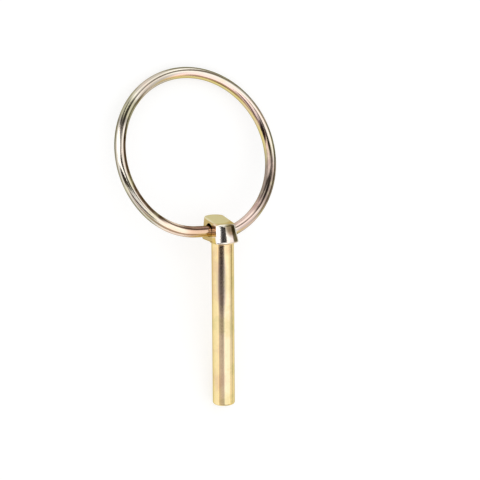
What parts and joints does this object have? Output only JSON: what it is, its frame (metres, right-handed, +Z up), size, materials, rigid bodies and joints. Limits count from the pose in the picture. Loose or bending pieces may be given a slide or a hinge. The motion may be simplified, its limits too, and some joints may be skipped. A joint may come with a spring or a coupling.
{
  "type": "lynch pin",
  "caption": "Lynch pin: a round shank with a flat-sided head, and a sprung wire ring hinged through the head that swings over to keep the pin in its cross hole.",
  "frame": {"origin": "middle of the footprint, on the surface that the pin lies on", "axes": "+Y from the tip of the shank to the far side of the ring, +Z up; the left cheek, with the upper hole, faces -X"},
  "size_m": [0.048, 0.092, 0.0149],
  "materials": {
    "plated_forging": "steel forging, zinc plated and passivated yellow, satin to bright",
    "plated_wire": "drawn spring wire, zinc plated and passivated yellow, bright"
  },
  "bodies": {
    "pin": {"pin": "plated_forging"},
    "ring": {"ring": "plated_wire"}
  },
  "joints": [
    {"name": "ring_hinge", "type": "hinge", "parent": "pin", "child": "ring", "pos_m": [0.00259, 0.00163, 0.00964], "axis": [-0.9982, 0.0587, 0.0106], "range_deg": [0, 154]}
  ]
}
